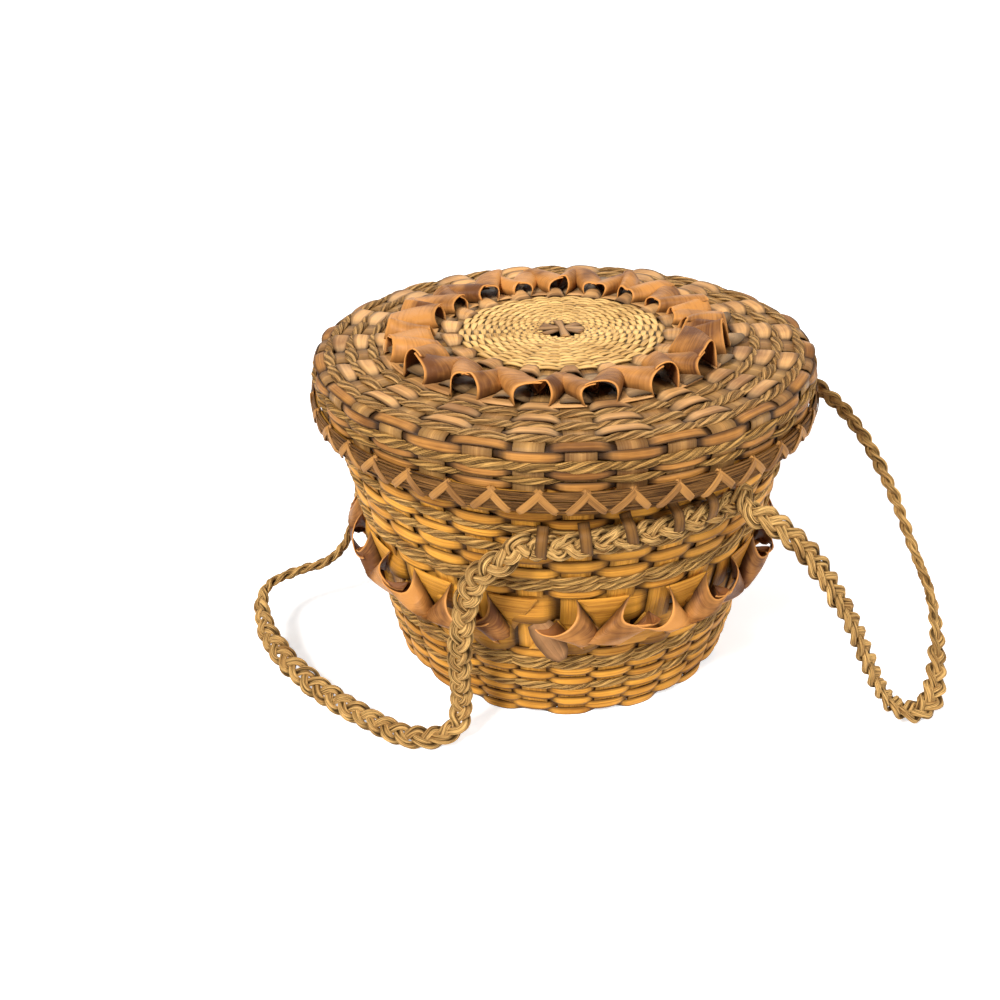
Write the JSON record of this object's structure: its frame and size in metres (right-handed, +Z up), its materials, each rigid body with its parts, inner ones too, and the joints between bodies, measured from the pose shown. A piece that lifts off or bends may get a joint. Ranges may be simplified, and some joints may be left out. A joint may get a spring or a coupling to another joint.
{
  "type": "lidded splint basket",
  "caption": "Round lidded basket of woven ash splint and sweetgrass, with bands of curled overlay, a lashed lid rim and braided swinging handles.",
  "frame": {"origin": "centre of the underside of the base, on the surface that the basket stands on", "axes": "+Z up through the middle of the lid; the front of the basket faces -Y and the left handle lies towards -X"},
  "size_m": [0.3766, 0.2628, 0.1873],
  "materials": {
    "splint": "satin",
    "wide_splint": "satin",
    "curl_splint": "satin",
    "sweetgrass": "matte",
    "braid": "matte"
  },
  "bodies": {
    "basket": {"base_weave": "splint", "base_lining": "splint", "foot_hoop": "splint", "body_uprights": "splint", "body_course_01_splint": "splint", "body_course_02_sweetgrass": "sweetgrass", "body_course_03_splint": "splint", "body_course_04_sweetgrass": "sweetgrass", "body_course_05_wide_splint": "wide_splint", "body_course_06_wide_splint": "wide_splint", "body_course_07_sweetgrass": "sweetgrass", "body_course_08_splint": "splint", "body_course_09_splint": "splint", "body_course_shoulder": "splint", "body_course_neck": "splint", "rim_hoop_outer": "splint", "rim_hoop_inner": "splint", "body_curl_band": "curl_splint", "braid_lashed_front": "braid", "braid_lashed_back": "braid", "braid_loop_front_1": "curl_splint", "braid_loop_front_2": "curl_splint", "braid_loop_front_3": "curl_splint", "braid_loop_front_4": "curl_splint", "braid_loop_front_5": "curl_splint", "braid_loop_back_1": "curl_splint", "braid_loop_back_2": "curl_splint", "braid_loop_back_3": "curl_splint", "braid_loop_back_4": "curl_splint", "braid_loop_back_5": "curl_splint"},
    "lid": {"lid_uprights": "splint", "lid_centre_weave": "splint", "lid_centre_cross": "curl_splint", "lid_course_bed_wide_splint": "wide_splint", "lid_course_top_splint": "splint", "lid_course_top_sweetgrass": "sweetgrass", "lid_course_edge_splint": "splint", "lid_course_skirt_sweetgrass": "sweetgrass", "lid_course_skirt_splint": "splint", "lid_hoop_outer": "splint", "lid_hoop_inner": "splint", "lid_sweetgrass_bundle": "sweetgrass", "lid_zigzag_lashing": "curl_splint", "lid_curl_band": "curl_splint"},
    "left_handle": {"left_handle_braid": "braid"},
    "right_handle": {"right_handle_braid": "braid"}
  },
  "joints": [
    {"name": "lid_lift", "type": "slide", "parent": "basket", "child": "lid", "axis": [0, 0, 1], "range_m": [0, 0.08]},
    {"name": "left_handle_swing", "type": "hinge", "parent": "basket", "child": "left_handle", "pos_m": [-0.04101, -0.00723, 0.121], "axis": [-0.1736, 0.9848, 0], "range_deg": [0, 50], "deforming": ["left_handle_braid"]},
    {"name": "right_handle_swing", "type": "hinge", "parent": "basket", "child": "right_handle", "pos_m": [0.08194, -0.01145, 0.125], "axis": [-0.1237, -0.9908, 0.0553], "range_deg": [0, 40], "deforming": ["right_handle_braid"]}
  ]
}
